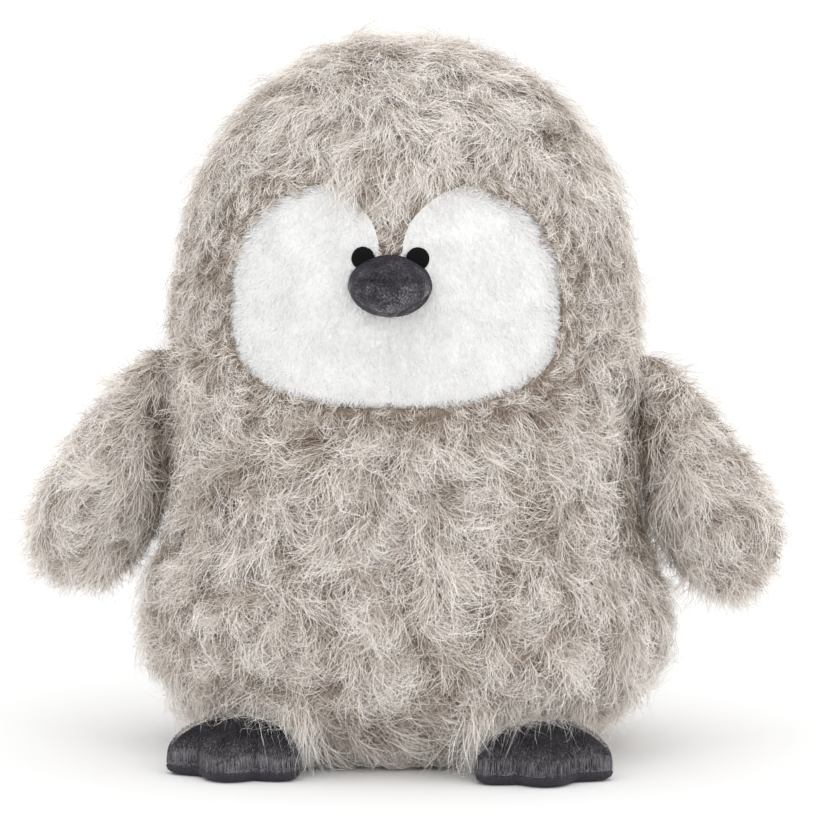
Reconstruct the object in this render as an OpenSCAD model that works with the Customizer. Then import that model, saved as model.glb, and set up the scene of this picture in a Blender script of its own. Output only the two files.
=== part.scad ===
// Standing plush penguin chick in long curly fur.
// Origin on the floor at the middle of the base, +Z up, the face looks along -Y.
// "left" is the toy's own left side, which is +X.

/* [Body] */
// Height of the sewn body
body_h = 243; // [230:1:256]
// Width of the head and chest
head_w = 153; // [146:1:160]
// Depth of the head and chest
head_d = 124; // [116:1:132]
// How much wider than the chest the hips are, on each side
hip_extra_w = 11.5; // [8:0.5:13]
// How much deeper than the chest the hips are, on each side
hip_extra_d = 12; // [8:0.5:14]
// Share by which the body narrows down to its base
base_tuck = 0.28; // [0.24:0.01:0.32]
// Thickness of the backed fur fabric
cloth_t = 3; // [2:0.5:3.5]
// Gap at every seam
seam_gap = 0.6; // [0.4:0.1:1]

/* [Face] */
// Half width of the white face
face_half_w = 57; // [52:1:60]
// Height of the face's widest line above the floor
face_mid_z = 157; // [155:1:159]
// Height of the face above its widest line
face_up = 48; // [46:1:49]
// Height of the face below its widest line
face_down = 30; // [28:1:32]
// Half width of the fur strip over the crown
strip_half_w = 27; // [24:1:29]
// Height at which the fur point over the beak ends
peak_z = 180; // [179:0.5:181]

/* [Beak and eyes] */
// Half width of the beak
beak_half_w = 14.5; // [12:0.5:16]
// How far the beak stands out
beak_reach = 18; // [14:1:22]
// Height of the beak's crease above the floor
beak_z = 164.5; // [163:0.5:166]
// Height of the beak above its crease
beak_up = 15.5; // [13:0.5:16.5]
// Height of the beak below its crease
beak_down = 6; // [5:0.5:8]
// Diameter of an embroidered eye
eye_d = 8; // [7:0.5:9]
// Distance of each eye from the middle
eye_x = 9.3; // [8:0.1:11]

/* [Wings] */
// Half thickness of a wing towards the front
wing_front_t = 14; // [10:0.5:15]
// Half thickness of a wing towards the back
wing_back_t = 12; // [9:0.5:14]

/* [Feet] */
// Distance of each foot's middle from the toy's middle
foot_x = 50; // [46:1:54]
// Distance of each foot's middle in front of the toy's middle
foot_y = 58; // [56:1:62]
// Height of the foot pad
foot_h = 19; // [15:0.5:20]
// How far each toe stands out of the pad
toe_out = 7; // [5:0.5:9]

/* [Hidden] */

fur_colour = "#b2a8a0";
face_colour = "#efefef";
velvet_colour = "#3c3a40";
thread_colour = "#d8d4d0";
eye_colour = "#131314";
filling_colour = "#f4f1ea";

squareness = 2.15;      // exponent of the body's rounded sections: 2 is an ellipse
chest_z = 150;          // the head's dome starts here
hip_z = 46;             // height of the widest line of the hips
hip_spread_w = 24;      // how far up and down the hips swell, seen from the front
hip_spread_d = 36;      // and seen from the side
tuck_z = 32;            // below this height the body rounds in to its base
tuck_power = 1.4;
inward_z = 110;         // cloth thickness is measured towards this height on the axis
face_power = 2.8;       // exponent of the face's rounded outline
face_bottom_z = face_mid_z - face_down;
face_top_z = face_mid_z + face_up;
back_point_z = 154;     // the crown strip ends in a point here, at the back
side_angle = 90;
filling_gap = 1;
pellet_top_z = 30;
around = 48;            // corners of a full ring

// ---------- The body's skin ----------

function signed_pow(v, e) = sign(v) * pow(abs(v), e);
function dome(z) = pow(1 - pow(max(0, z - chest_z) / (body_h - chest_z), squareness), 1 / squareness);
function tuck(z) = 1 - base_tuck * pow(max(0, tuck_z - z) / tuck_z, tuck_power);
function swell(z, spread) = exp(-pow((z - hip_z) / spread, 2));
function half_w(z) = (head_w / 2 + hip_extra_w * swell(z, hip_spread_w)) * tuck(z) * dome(z);
function half_d(z) = (head_d / 2 + hip_extra_d * swell(z, hip_spread_d)) * tuck(z) * dome(z);

// A point moved by t away from the middle of the body
function outward(p, t) =
    let (middle = [0, 0, inward_z], away = p - middle)
    middle + away * (1 + t / norm(away));

// The skin at height z, turned by angle from the front towards +X
function skin(angle, z, t = 0) = outward([
    half_w(z) * signed_pow(sin(angle), 2 / squareness),
    -half_d(z) * signed_pow(cos(angle), 2 / squareness),
    z
], t);

// The angle at which the skin is x away from the middle
function angle_at(x, z) = asin(pow(min(1, x / half_w(z)), squareness / 2));

// The skin of the head x away from the middle, with climb 0 in front, 90 on top and 180 behind
function crest(x, climb, t = 0) =
    let (
        reach = pow(abs(cos(climb)), squareness) + pow(abs(sin(climb)), squareness),
        r = pow((1 - pow(abs(x) / (head_w / 2), squareness)) / reach, 1 / squareness)
    )
    outward([x, -head_d / 2 * r * cos(climb), chest_z + (body_h - chest_z) * r * sin(climb)], t);

// ---------- Outlines on the skin ----------

// Half width of the face at height z
function face_half(z) =
    let (h = z > face_mid_z ? (z - face_mid_z) / face_up : (face_mid_z - z) / face_down)
    h >= 1 ? 0 : face_half_w * pow(1 - pow(h, face_power), 1 / face_power);

// Half width of the crown strip in front, from its point over the beak
function strip_front(z) =
    let (rise = (z - peak_z + 3) / (face_top_z - peak_z + 3))
    rise >= 1 ? strip_half_w : rise <= 0 ? 0 : 4 + (strip_half_w - 4) * pow(rise, 3);

// Half width of the crown strip behind
function strip_back(z) =
    z > face_top_z ? strip_half_w : max(0.6, strip_half_w * (z - back_point_z) / (face_top_z - back_point_z));

function front_inner(z) = z < face_bottom_z ? seam_gap / 2 : max(face_half(z), strip_front(z)) + seam_gap;
function back_inner(z) = z < back_point_z + 2 ? seam_gap / 2 : strip_back(z) + seam_gap;
function face_inner(z) = z < peak_z ? seam_gap / 2 : strip_front(z) + seam_gap;

// ---------- Solids from rows of points ----------

function lerp(a, b, u) = a + (b - a) * u;
function steps(a, b, n) = [for (i = [0 : n]) lerp(a, b, i / n)];

// Rows of points from low to high, each running left to right as seen from outside
module sheet_solid(outer, inner) {
    rows = len(outer);
    cols = len(outer[0]);
    count = rows * cols;
    points = concat([for (row = outer) for (p = row) p], [for (row = inner) for (p = row) p]);
    function at(i, j) = i * cols + j;
    cells = [
        for (i = [0 : rows - 2])
            for (j = [0 : cols - 2])
                [at(i, j), at(i + 1, j), at(i + 1, j + 1), at(i, j + 1)]
    ];
    rim = concat(
        [for (j = [0 : cols - 2]) at(0, j)],
        [for (i = [0 : rows - 2]) at(i, cols - 1)],
        [for (j = [cols - 1 : -1 : 1]) at(rows - 1, j)],
        [for (i = [rows - 1 : -1 : 1]) at(i, 0)]
    );
    edges = [for (k = [0 : len(rim) - 1]) [rim[k], rim[(k + 1) % len(rim)]]];
    polyhedron(points, concat(
        [for (c = cells) [c[0], c[1], c[2]]],
        [for (c = cells) [c[0], c[2], c[3]]],
        [for (c = cells) [c[2] + count, c[1] + count, c[0] + count]],
        [for (c = cells) [c[3] + count, c[2] + count, c[0] + count]],
        [for (e = edges) [e[0], e[1], e[1] + count]],
        [for (e = edges) [e[0], e[1] + count, e[0] + count]]
    ));
}

// Closed rings of points, counter-clockwise seen from the last one, closed by a point at each end
module ring_solid(first, rings, last) {
    n = len(rings[0]);
    top = len(rings) * n + 1;
    points = concat([first], [for (ring = rings) for (p = ring) p], [last]);
    function at(i, j) = 1 + i * n + j % n;
    polyhedron(points, concat(
        [for (j = [0 : n - 1]) [0, at(0, j), at(0, j + 1)]],
        [for (i = [0 : len(rings) - 2]) for (j = [0 : n - 1]) [at(i, j), at(i + 1, j), at(i + 1, j + 1)]],
        [for (i = [0 : len(rings) - 2]) for (j = [0 : n - 1]) [at(i, j), at(i + 1, j + 1), at(i, j + 1)]],
        [for (j = [0 : n - 1]) [top, at(len(rings) - 1, j + 1), at(len(rings) - 1, j)]]
    ));
}

// An outline carried through a profile of [share of the outline, height], from one middle point to another
module outline_solid(outline, middle, up, profile) {
    last = len(profile) - 1;
    function ring(share, height) = [for (p = outline) middle + (p - middle) * share + up * height];
    ring_solid(
        middle + up * profile[0][1],
        [for (k = [1 : last - 1]) ring(profile[k][0], profile[k][1])],
        middle + up * profile[last][1]
    );
}

// A closed outline with its corners cut a few times
function cut_corners(p, times) =
    times == 0 ? p : cut_corners([
        for (i = [0 : len(p) - 1])
            let (next = p[(i + 1) % len(p)])
            each [lerp(p[i], next, 0.25), lerp(p[i], next, 0.75)]
    ], times - 1);

// ---------- Body panels ----------

// Cloth between two angles, which may change with the height
module skin_panel(heights, from_angle, to_angle, columns, outer_t = 0, inner_t = -cloth_t) {
    shares = steps(0, 1, columns);
    function row(z, t) = [for (u = shares) skin(lerp(from_angle(z), to_angle(z), u), z, t)];
    sheet_solid([for (z = heights) row(z, outer_t)], [for (z = heights) row(z, inner_t)]);
}

even_rows = [for (a = [-84 : 8 : 84]) face_mid_z + (a < 0 ? face_down : face_up) * sin(a)];
face_rows = concat(    // with a row close on each side of the fur point's tip
    [for (z = even_rows) if (z < peak_z - 1.2) z],
    [peak_z - 0.2, peak_z + 0.2],
    [for (z = even_rows) if (z > peak_z + 1.2) z]
);
lobe_rows = [for (z = face_rows) if (face_half(z) > face_inner(z) + 1) z];
low_rows = concat(steps(0, tuck_z, 5), steps(tuck_z + 8, face_bottom_z - 1, 9));
front_top_z = chest_z + (body_h - chest_z)
    * pow(1 - pow((strip_half_w + 2 * seam_gap) / (head_w / 2), squareness), 1 / squareness);
high_rows = steps(face_top_z + 2, front_top_z, 6);
front_rows = concat(low_rows, [face_bottom_z - 0.2], face_rows, high_rows);
back_rows = concat(low_rows, steps(face_bottom_z + 5, face_top_z, 9), high_rows);
side_gap_angle = 0.25;
panel_columns = 10;

module front_panel() {
    inner = function(z) angle_at(front_inner(z), z);
    side = function(z) side_angle - side_gap_angle;
    color(fur_colour)
        skin_panel(front_rows, inner, side, panel_columns);
}

module back_panel() {
    inner = function(z) 180 - angle_at(back_inner(z), z);
    side = function(z) side_angle + side_gap_angle;
    color(fur_colour)
        skin_panel(back_rows, side, inner, panel_columns);
}

module face_panel() {
    inner = function(z) angle_at(face_inner(z), z);
    outer = function(z) angle_at(face_half(z), z);
    color(face_colour)
        skin_panel(lobe_rows, inner, outer, panel_columns);
}

// The strip's edge at a given climb, found by trying its height a few times
function strip_edge(climb, x, tries) =
    tries == 0 ? x : strip_edge(
        climb,
        climb < side_angle ? strip_front(crest(x, climb)[2]) : strip_back(crest(x, climb)[2]),
        tries - 1
    );

module crown_strip() {
    start = atan2((peak_z + 0.5 - chest_z) / (body_h - chest_z), dome(peak_z));
    climbs = steps(start, 176, 34);
    edge = [for (c = climbs) strip_edge(c, strip_half_w / 2, 6)];
    across = steps(-1, 1, 8);
    color(fur_colour)
        sheet_solid(
            [for (i = [0 : len(climbs) - 1]) [for (u = across) crest(u * edge[i], climbs[i], 0)]],
            [for (i = [0 : len(climbs) - 1]) [for (u = across) crest(u * edge[i], climbs[i], -cloth_t)]]
        );
}

module base_panel() {
    share = (half_w(0) - cloth_t) / half_w(0) - 0.02;
    rim = [for (j = [1 : around]) share * skin(360 * j / around, 0)];
    color(fur_colour)
        outline_solid(rim, [0, 0, 0], [0, 0, 1], [[0, 0], [1, 0], [1, cloth_t], [0, cloth_t]]);
}

// A ring of the space inside the cloth
function inner_ring(z) = [for (j = [1 : around]) skin(360 * j / around, z, -cloth_t - filling_gap)];

module body_filling() {
    bottom = inner_ring(pellet_top_z - 2);
    floor_z = pellet_top_z + filling_gap + 2;
    rings = [for (z = concat(steps(floor_z, chest_z, 11), steps(chest_z + 10, body_h - 4, 9))) inner_ring(z)];
    flat = [for (p = bottom) [p[0], p[1], rings[0][0][2] - 2]];
    color(filling_colour)
        ring_solid([0, 0, flat[0][2]], concat([flat], rings), [0, 0, body_h - cloth_t - 2]);
}

module pellet_bag() {
    rim = [for (p = inner_ring(tuck_z / 2)) [p[0], p[1], 0]];
    profile = [
        [0, 4.5], [0.62, 4.5], [0.86, 9], [0.94, 17], [0.9, 24],
        [0.7, pellet_top_z - 1.5], [0, pellet_top_z - 0.5]
    ];
    color(filling_colour)
        outline_solid(rim, [0, 0, 0], [0, 0, 1], profile);
}

// A raised row of stitches over a seam, at a given side of the body
module stitch_row(z_from, z_to, angle) {
    half = 0.4;
    color(thread_colour)
        skin_panel(
            steps(z_from, z_to, 12),
            function(z) angle - angle_at(half, z),
            function(z) angle + angle_at(half, z),
            2, 1, 0.35
        );
}

module face_seam() {
    stitch_row(face_bottom_z + 2, beak_z - beak_down - 1.5, 0);
}

module closing_seam() {
    stitch_row(34, 96, 180);
}

// ---------- Beak and eyes ----------

beak_back = half_d(beak_z) + 1.8;       // the beak starts this far in front of the middle
beak_cloth = 1.4;
crease_angle = 3;
corner_angle = 84;

// The beak's skin: around runs from corner to corner, climb from the crease to the face
function beak_point(turn, climb, up, t) = [
    (beak_half_w - t) * sin(turn),
    -beak_back - (beak_reach - t) * cos(turn) * cos(climb),
    beak_z + sign(climb) * (up - t) * cos(turn) * abs(sin(climb))
];

module beak_panel(climb_from, climb_to, up) {
    turns = steps(-corner_angle, corner_angle, 16);
    climbs = steps(climb_from, climb_to, 8);
    color(velvet_colour)
        sheet_solid(
            [for (c = climbs) [for (u = turns) beak_point(u, c, up, 0)]],
            [for (c = climbs) [for (u = turns) beak_point(u, c, up, beak_cloth)]]
        );
}

module beak_upper() {
    beak_panel(crease_angle, 88, beak_up);
}

module beak_lower() {
    beak_panel(-86, -crease_angle * 2, beak_down);
}

module beak_filling() {
    turns = steps(360, 0, 24);
    inset = beak_cloth + 0.5;
    middle_z = beak_z + 1;
    function high(turn) = cos(turn) < 0 ? beak_up - inset - 1.5 : beak_down - inset - 0.6;
    rings = [for (lean = steps(8, 76, 7)) [for (j = [1 : 24]) [
        (beak_half_w - inset) * sin(lean) * sin(turns[j]),
        -beak_back - 0.3 - (beak_reach - inset - 0.6) * cos(lean),
        middle_z - high(turns[j]) * sin(lean) * cos(turns[j])
    ]]];
    color(filling_colour)
        ring_solid([0, rings[0][0][1] - 0.1, middle_z], rings, [0, rings[7][0][1] + 0.2, middle_z]);
}

// A padded satin-stitch disc that lies on the face
module eye_pad() {
    eye_z = 178.5;
    seat = skin(angle_at(eye_x, eye_z), eye_z, 0.35);
    tilt = 12;      // the brow leans back
    turn = 4;       // and the cheek turns away
    thick = 1.1;
    r = eye_d / 2;
    color(eye_colour)
        translate(seat)
            rotate([0, 0, turn])
                rotate([90 - tilt, 0, 0])
                    rotate_extrude($fn = 40)
                        polygon([[0, 0], [r, 0], [r, thick * 0.35], [r * 0.77, thick * 0.8], [0, thick]]);
}

// ---------- Wings ----------

seam_x = head_w / 2 + 2.1;      // the wing is sewn on along this upright line
wing_seam_low = 105;
wing_seam_high = 137;
wing_outline = cut_corners([
    for (p = [
        [0.7, wing_seam_low], [7, 79], [14, 66], [22, 58], [31, 54.5], [41, 57], [48, 66], [49.4, 78],
        [45.5, 90], [37.5, 102], [27.5, 115], [18.5, 127], [8, 136.5], [0.7, wing_seam_high]
    ]) [seam_x + p[0], 0, p[1]]
], 1);
wing_middle = [seam_x + 25, 0, 92];
wing_cloth = 2.4;

// Pillow profile of a wing side: a share of the outline, scaled, and how high it stands over the rim
function pillow(s, high, scale, rim_y) = [s * scale, rim_y + (high - rim_y) * (1 - s * s)];

module wing_side(high, up) {
    shares = [0, 0.25, 0.45, 0.62, 0.76, 0.88, 0.95, 1];
    last = len(shares) - 1;
    corners = len(wing_outline) - 1;
    inside = [for (k = [0 : last]) pillow(shares[k], high - wing_cloth, 0.955, 0.36)];
    outside = [for (k = [last : -1 : 0]) pillow(shares[k], high, 1, 0.35)];
    outline = up[1] < 0 ? wing_outline : [for (k = [corners : -1 : 0]) wing_outline[k]];
    color(fur_colour)
        outline_solid(outline, wing_middle, up, concat(inside, outside));
}

module wing_front() {
    wing_side(wing_front_t, [0, -1, 0]);
}

module wing_back() {
    wing_side(wing_back_t, [0, 1, 0]);
}

module wing_filling() {
    shares = [0, 0.3, 0.55, 0.75, 0.9, 1];
    last = len(shares) - 1;
    inset = wing_cloth + filling_gap;
    rim_y = 0.3;
    behind = [for (s = shares) let (p = pillow(s, wing_back_t - inset + rim_y, 0.9, rim_y)) [p[0], -p[1]]];
    ahead = [for (k = [last : -1 : 0]) pillow(shares[k], wing_front_t - inset + rim_y, 0.9, rim_y)];
    color(filling_colour)
        outline_solid(wing_outline, wing_middle, [0, -1, 0], concat(behind, ahead));
}

// The folded seam allowance between the body and a wing
module shoulder() {
    low = wing_seam_low + 3;
    high = wing_seam_high;
    color(fur_colour)
        translate([head_w / 2 + 0.5, -1.8, low])
            cube([0.9, 3.6, high - low]);
}

// ---------- Feet ----------

toes = [[-120, 1.1], [-80, 1.2], [-22, 0.85]];    // direction and length of each toe
toe_spread = 21;
pad_front = 18;
pad_back = 12.5;
pad_stretch = 1.28;      // the pad is wider than it is long

// Distance of the foot's outline from its middle in a given direction
function foot_reach(a) =
    lerp(pad_back, pad_front, (1 - sin(a)) / 2)
    + toe_out * max([for (t = toes) t[1] * exp(-pow((a - t[0]) / toe_spread, 2))]);

foot_middle = [foot_x, -foot_y, 0];
foot_outline = [for (a = [-176 : 8 : 179]) foot_middle + foot_reach(a) * [pad_stretch * cos(a), sin(a), 0]];
sole_h = 3.6;

module foot_upper() {
    color(velvet_colour)
        outline_solid(foot_outline, foot_middle, [0, 0, 1], [
            [0, foot_h - 2.2], [0.25, foot_h - 3], [0.48, foot_h - 5.4], [0.72, foot_h - 10],
            [0.95, sole_h + 0.5], [1, sole_h + 0.5],
            [0.96, sole_h + 3.4], [0.82, foot_h - 7.6], [0.58, foot_h - 3.2], [0.3, foot_h - 0.8], [0, foot_h]
        ]);
}

module foot_sole() {
    color(velvet_colour)
        outline_solid(foot_outline, foot_middle, [0, 0, 1], [
            [0, 0], [0.9, 0], [0.98, 1.4], [1, sole_h], [0.95, sole_h], [0.9, 2.2], [0, 2]
        ]);
}

module foot_filling() {
    color(filling_colour)
        outline_solid(foot_outline, foot_middle, [0, 0, 1], [
            [0, 2.6], [0.86, 2.8], [0.91, sole_h + 0.6],
            [0.68, foot_h - 10.6], [0.45, foot_h - 6.2], [0.22, foot_h - 3.9], [0, foot_h - 3]
        ]);
}

// The toy's right side mirrors its left
module right_side() {
    mirror([1, 0, 0])
        children();
}

crown_strip();
face_panel();  // face_left
right_side() face_panel();  // face_right
front_panel();  // front_left
right_side() front_panel();  // front_right
back_panel();  // back_left
right_side() back_panel();  // back_right
base_panel();
body_filling();
pellet_bag();
face_seam();
closing_seam();
eye_pad();  // eye_left
right_side() eye_pad();  // eye_right
beak_upper();
beak_lower();
beak_filling();
shoulder();  // shoulder_left
wing_front();  // wing_left_front
wing_back();  // wing_left_back
wing_filling();  // wing_left_filling
right_side() shoulder();  // shoulder_right
right_side() wing_front();  // wing_right_front
right_side() wing_back();  // wing_right_back
right_side() wing_filling();  // wing_right_filling
foot_upper();  // foot_left_upper
foot_sole();  // foot_left_sole
foot_filling();  // foot_left_filling
right_side() foot_upper();  // foot_right_upper
right_side() foot_sole();  // foot_right_sole
right_side() foot_filling();  // foot_right_filling
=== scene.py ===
import math

import bpy
import mathutils
import numpy as np
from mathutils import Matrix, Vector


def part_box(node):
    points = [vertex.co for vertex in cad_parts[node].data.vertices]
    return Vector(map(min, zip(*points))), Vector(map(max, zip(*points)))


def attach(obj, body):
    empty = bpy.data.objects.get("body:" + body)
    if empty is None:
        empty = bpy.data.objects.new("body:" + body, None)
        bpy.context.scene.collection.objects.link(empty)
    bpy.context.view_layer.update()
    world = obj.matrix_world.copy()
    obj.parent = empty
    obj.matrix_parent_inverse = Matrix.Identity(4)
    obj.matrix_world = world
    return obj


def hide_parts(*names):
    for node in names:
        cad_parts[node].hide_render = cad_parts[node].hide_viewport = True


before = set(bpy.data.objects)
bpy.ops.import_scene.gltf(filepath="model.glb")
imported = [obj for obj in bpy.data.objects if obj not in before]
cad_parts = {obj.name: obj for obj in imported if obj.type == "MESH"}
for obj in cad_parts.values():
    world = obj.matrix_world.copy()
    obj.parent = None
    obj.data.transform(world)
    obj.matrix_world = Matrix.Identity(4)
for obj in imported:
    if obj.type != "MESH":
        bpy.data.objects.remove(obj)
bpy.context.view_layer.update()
print("frame loaded")

mm = 0.001
sides = {"left": 1.0, "right": -1.0}  # the toy's own left is +X
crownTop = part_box("crown_strip")[1][2]
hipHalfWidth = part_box("front_left")[1][0]


def linear(hexColour, alpha=1.0):
    # an sRGB hex colour as the linear numbers that shaders take
    values = [int(hexColour[i:i + 2], 16) / 255 for i in (1, 3, 5)]
    return [v / 12.92 if v <= 0.04045 else ((v + 0.055) / 1.055) ** 2.4 for v in values] + [alpha]


def addNode(material, kind, settings=None, values=None, links=None):
    # one shader node: attributes, socket values, and links from (node, socket) pairs
    tree = material.node_tree
    node = tree.nodes.new(kind)
    for name, value in (settings or {}).items():
        setattr(node, name, value)
    for name, value in (values or {}).items():
        node.inputs[name].default_value = value
    for name, (source, socket) in (links or {}).items():
        tree.links.new(source.outputs[socket], node.inputs[name])
    return node


def newMaterial(name, shaderValues):
    material = bpy.data.materials.new(name)
    material.use_nodes = True
    shader = material.node_tree.nodes["Principled BSDF"]
    for socket, value in shaderValues.items():
        shader.inputs[socket].default_value = value
    return material, shader


def plug(material, source, socket, target, targetSocket):
    material.node_tree.links.new(source.outputs[socket], target.inputs[targetSocket])


def setRamp(node, stops):
    # colour stops as (place, hex colour)
    ramp = node.color_ramp
    while len(ramp.elements) < len(stops):
        ramp.elements.new(0.5)
    for element, (place, colour) in zip(ramp.elements, stops):
        element.position = place
        element.color = linear(colour)


def unit(v):
    return v / np.maximum(np.linalg.norm(v, axis=-1, keepdims=True), 1e-12)


def smooth(t):
    t = np.clip(t, 0, 1)
    return t * t * (3 - 2 * t)


def signedPower(v, e):
    return np.sign(v) * np.abs(v) ** e


def latticeNoise(points, cell, seed):
    # smooth random numbers from -1 to 1: each corner of a cubic lattice has its own number,
    # and they are blended in between
    place = points / cell
    base = np.floor(place).astype(np.int64)
    share = place - base
    share = share * share * (3 - 2 * share)
    total = np.zeros(len(points))
    for corner in np.ndindex(2, 2, 2):
        c = base + corner
        h = (c[:, 0] * 73856093) ^ (c[:, 1] * 19349663) ^ (c[:, 2] * 83492791) ^ (seed * 40503)
        h = (h ^ (h >> 13)) * 1274126177
        h = (h ^ (h >> 16)) & 0xffff
        weight = np.prod(np.where(corner, share, 1 - share), axis=1)
        total += weight * (h / 32767.5 - 1)
    return total


def buildMesh(name, points, faceSets, uvs=None):
    # a mesh from an array of points and arrays of triangles or quads; uvs has one pair for each point
    mesh = bpy.data.meshes.new(name)
    mesh.vertices.add(len(points))
    mesh.vertices.foreach_set("co", np.asarray(points, np.float32).ravel())
    loops = np.concatenate([f.ravel() for f in faceSets])
    counts = np.concatenate([np.full(len(f), f.shape[1]) for f in faceSets])
    mesh.loops.add(len(loops))
    mesh.loops.foreach_set("vertex_index", loops.astype(np.int32))
    mesh.polygons.add(len(counts))
    mesh.polygons.foreach_set("loop_start", (np.cumsum(counts) - counts).astype(np.int32))
    mesh.polygons.foreach_set("loop_total", counts.astype(np.int32))
    mesh.update(calc_edges=True)
    mesh.polygons.foreach_set("use_smooth", np.ones(len(counts), bool))
    if uvs is not None:
        layer = mesh.uv_layers.new(name="OFBake")
        layer.data.foreach_set("uv", np.asarray(uvs, np.float32)[loops].ravel())
    obj = bpy.data.objects.new(name, mesh)
    bpy.context.scene.collection.objects.link(obj)
    return obj


def gridFaces(rows, cols, closed):
    # quads between neighbouring rows and columns; closed joins the last column to the first
    i, j = np.meshgrid(np.arange(rows - 1), np.arange(cols if closed else cols - 1), indexing="ij")
    k = (j + 1) % cols
    return np.stack([i * cols + j, i * cols + k, (i + 1) * cols + k, (i + 1) * cols + j], -1).reshape(-1, 4)


def closedRings(name, rings, material, nap=None):
    # a closed skin through rings of points, with a fan to a middle point at each end;
    # nap is one number for each point
    count, around = rings.shape[:2]
    points = np.concatenate([rings.reshape(-1, 3), rings[0].mean(0)[None], rings[-1].mean(0)[None]])
    j = np.arange(around)
    k = (j + 1) % around
    last = (count - 1) * around
    first = np.stack([np.full(around, count * around), k, j], -1)
    end = np.stack([np.full(around, count * around + 1), last + j, last + k], -1)
    obj = buildMesh(name, points, [gridFaces(count, around, True), first, end])
    if nap is not None:
        layer = obj.data.attributes.new("nap", "FLOAT", "POINT")
        values = np.concatenate([nap.ravel(), [nap[0].mean(), nap[-1].mean()]])
        layer.data.foreach_set("value", values.astype(np.float32))
    obj.data.materials.append(material)
    return obj


body = {
    "chestZ": 150 * mm,            # the head's dome starts here
    "headHalfWidth": 76.5 * mm,
    "headHalfDepth": 62 * mm,
    "hipZ": 46 * mm,               # widest line of the hips
    "hipExtraDepth": 12 * mm,
    "hipSpreadWidth": 24 * mm,
    "hipSpreadDepth": 36 * mm,
    "tuckZ": 32 * mm,              # below this the body rounds in to its base
    "baseTuck": 0.28,
    "squareness": 2.15,            # exponent of its rounded sections
    "chestShare": 0.55,            # share of the upward parameter below the dome
}
body["hipExtraWidth"] = hipHalfWidth - body["headHalfWidth"]

face = {
    "halfWidth": 57 * mm,
    "midZ": 157 * mm,              # height of its widest line
    "up": 48 * mm,
    "down": 30 * mm,
    "power": 2.8,                  # exponent of its rounded outline
    "peakZ": 180 * mm,             # the fur point over the beak ends here
    "stripHalfWidth": 27 * mm,     # fur strip over the crown
    "puff": 1.6 * mm,              # how far each cheek swells
    "seamDip": 0.9 * mm,
    "seamHalfWidth": 1.3 * mm,
}


def halfSizes(z):
    # half width and half depth at height z: the chest, plus a bell-shaped swell at the hips,
    # tucked in at the base
    b = body
    tuck = 1 - b["baseTuck"] * (np.clip(b["tuckZ"] - z, 0, None) / b["tuckZ"]) ** 1.4
    rise = np.clip((z - b["chestZ"]) / (crownTop - b["chestZ"]), 0, 1)
    dome = (1 - rise ** b["squareness"]) ** (1 / b["squareness"])
    wide = b["headHalfWidth"] + b["hipExtraWidth"] * np.exp(-((z - b["hipZ"]) / b["hipSpreadWidth"]) ** 2)
    deep = b["headHalfDepth"] + b["hipExtraDepth"] * np.exp(-((z - b["hipZ"]) / b["hipSpreadDepth"]) ** 2)
    return wide * tuck * dome, deep * tuck * dome


def bodyAt(turn, z):
    # the skin at height z, turned from the front towards +X, on a rounded-rectangle section
    wide, deep = halfSizes(z)
    e = 2 / body["squareness"]
    x = wide * signedPower(np.sin(turn), e)
    y = -deep * signedPower(np.cos(turn), e)
    return np.stack([x, y, z + 0 * turn], -1)


def bodySurface(u, v):
    # u goes once round, v from the base to the crown: evenly up to the chest, then along the dome's arc
    share = body["chestShare"]
    arc = np.clip((v - share) / (1 - share), 0, 1) * np.pi / 2
    domeZ = body["chestZ"] + (crownTop - body["chestZ"]) * np.sin(arc) ** (2 / body["squareness"])
    z = np.where(v < share, body["chestZ"] * v / share, domeZ)
    return bodyAt(u * 2 * np.pi, z)


def faceHalf(z):
    h = np.where(z > face["midZ"], (z - face["midZ"]) / face["up"], (face["midZ"] - z) / face["down"])
    return face["halfWidth"] * np.clip(1 - np.clip(h, 0, 1) ** face["power"], 0, 1) ** (1 / face["power"])


def stripFront(z):
    # half width of the fur point between the two white lobes
    top = face["midZ"] + face["up"]
    rise = np.clip((z - face["peakZ"] + 3 * mm) / (top - face["peakZ"] + 3 * mm), 0, 1)
    return np.where(rise > 0, 4 * mm + (face["stripHalfWidth"] - 4 * mm) * rise ** 3, 0)


def fromFace(p):
    # distance from the white face's outline, negative inside it; far away behind the toy
    x, y, z = np.abs(p[:, 0]), p[:, 1], p[:, 2]
    tall = np.where(z > face["midZ"], face["up"], face["down"])
    ratio = ((x / face["halfWidth"]) ** face["power"] + (np.abs(z - face["midZ"]) / tall) ** face["power"])
    outside = (ratio ** (1 / face["power"]) - 1) * 42 * mm
    inStrip = stripFront(z) - x
    d = np.where(inStrip > 0, np.where(outside > 0, np.maximum(outside, inStrip), inStrip), outside)
    return np.where(y > 0, 1.0, d)


def faceRelief(p):
    # how far the white cloth stands out: two soft cheeks, drawn in at the outline and along the middle seam
    d = -fromFace(p)
    cheek = face["puff"] * smooth(d / (20 * mm)) - 2.4 * mm * (1 - smooth((d + 1 * mm) / (5 * mm)))
    below = smooth((163 * mm - p[:, 2]) / (4 * mm))
    seam = face["seamDip"] * np.exp(-(p[:, 0] / face["seamHalfWidth"]) ** 2) * below
    return cheek - seam


foot = {
    "middle": (50 * mm, -58 * mm),
    "toes": [(-120, 1.1), (-80, 1.2), (-22, 0.85)],    # direction in degrees and length of each toe
    "toeOut": 7 * mm,
    "toeSpread": 21,
    "front": 18 * mm,
    "back": 12.5 * mm,
    "stretch": 1.28,
    "high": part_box("foot_left_upper")[1][2],
    "edgeZ": 3.8 * mm,
}


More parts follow.
